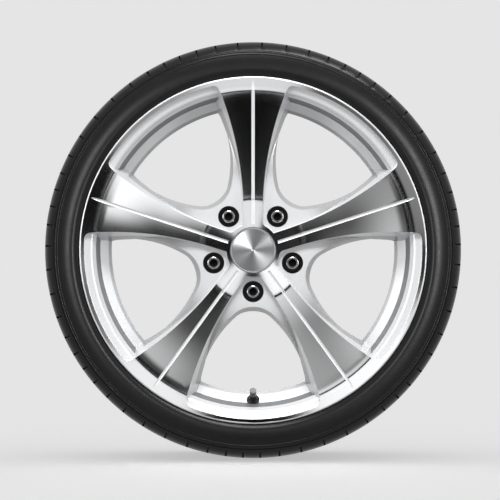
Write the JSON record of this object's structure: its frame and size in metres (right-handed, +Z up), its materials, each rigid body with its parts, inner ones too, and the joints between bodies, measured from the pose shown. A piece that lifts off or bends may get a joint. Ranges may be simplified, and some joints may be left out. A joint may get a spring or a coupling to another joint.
{
  "type": "car wheel with tyre",
  "caption": "Low-profile car tyre mounted on a five-spoke alloy wheel with a turned face, painted pockets, wheel bolts, a centre cap and a snap-in valve with a screw cap.",
  "frame": {"origin": "centre of the wheel, half way across the tyre on the axle", "axes": "+Y along the axle, inboard towards the car; -Y is the outboard face that the picture shows; +Z up, with the valve at the bottom"},
  "size_m": [0.661, 0.26, 0.6609],
  "materials": {
    "tyre_rubber": "matte moulded rubber",
    "alloy": "silver paint, with a diamond-turned clear-coated face",
    "black_steel": "black coating",
    "cap_plastic": "silver-painted plastic",
    "spun_metal": "spun, fine circular lines",
    "spring_steel": "drawn wire",
    "valve_rubber": "moulded rubber",
    "valve_brass": "turned brass",
    "grey_plastic": "moulded, ribbed"
  },
  "bodies": {
    "wheel": {"alloy_wheel": "alloy", "tyre": "tyre_rubber", "lug_bolts": "black_steel", "lug_bolt_seats": "black_steel", "centre_cap": "cap_plastic", "centre_cap_disc": "spun_metal", "centre_cap_ring": "spring_steel", "valve_body": "valve_rubber", "valve_stem": "valve_brass", "valve_core": "valve_brass", "valve_spring": "spring_steel"},
    "pin": {"valve_pin": "valve_brass"},
    "seal": {"valve_cap_seal": "valve_rubber"},
    "cap": {"valve_cap": "grey_plastic"}
  },
  "joints": [
    {"name": "pin_press", "type": "slide", "parent": "wheel", "child": "pin", "axis": [0, 0.766, -0.6428], "range_m": [0, 0.001], "stiffness_N_per_m": 2000, "springref_m": -0.001, "deforming": ["valve_spring"]},
    {"name": "cap_lift", "type": "slide", "parent": "wheel", "child": "seal", "axis": [0, -0.766, 0.6428], "range_m": [0, 0.00953]},
    {"name": "cap_turn", "type": "hinge", "parent": "seal", "child": "cap", "pos_m": [0, -0.07601, -0.23682], "axis": [0, -0.766, 0.6428], "range_deg": [0, 4320]}
  ],
  "couplings": [
    {"joint": "cap_turn", "follows": "cap_lift", "rad_per_m": 7913.3}
  ]
}
